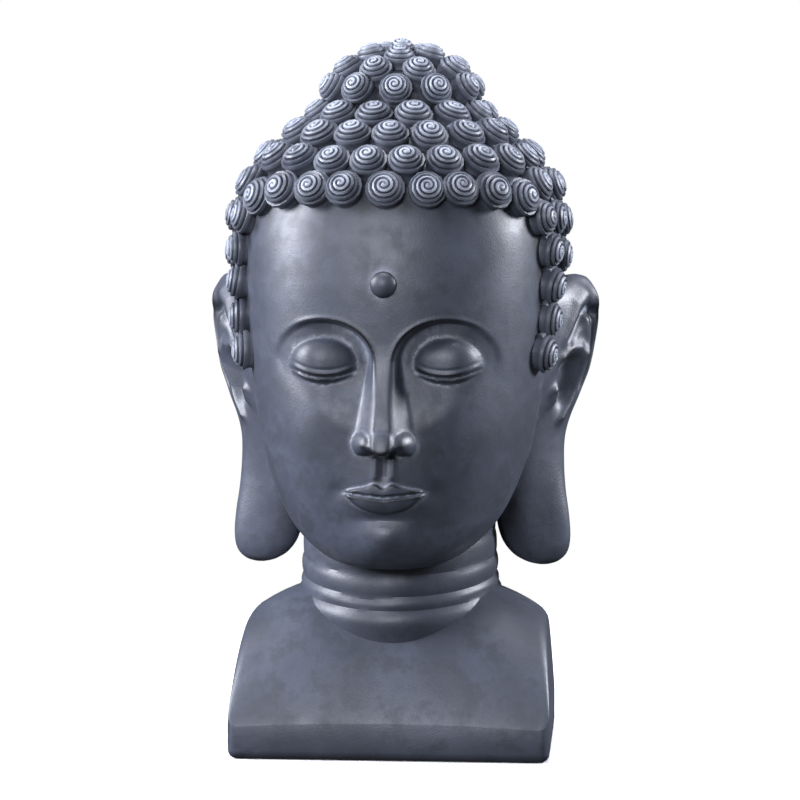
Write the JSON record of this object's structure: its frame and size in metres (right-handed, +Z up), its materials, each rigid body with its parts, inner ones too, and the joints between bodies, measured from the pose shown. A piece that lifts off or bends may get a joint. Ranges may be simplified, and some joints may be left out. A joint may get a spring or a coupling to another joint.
{
  "type": "stone buddha head",
  "caption": "Garden head of the Buddha in blue-grey cast stone, eyes closed, with snail-curl hair, long ears and a ringed neck on a shoulder block that stands on its flat underside.",
  "frame": {"origin": "on the underside, under the middle of the neck", "axes": "+Z up, the face looks along -Y, +X to the left ear of the figure"},
  "size_m": [0.388, 0.3747, 0.7007],
  "materials": {
    "cast_stone": "blue-grey cast stone, semi-matt, dry-brushed lighter on the raised carving"
  },
  "bodies": {
    "root": {"buddha_head": "cast_stone"}
  },
  "joints": []
}
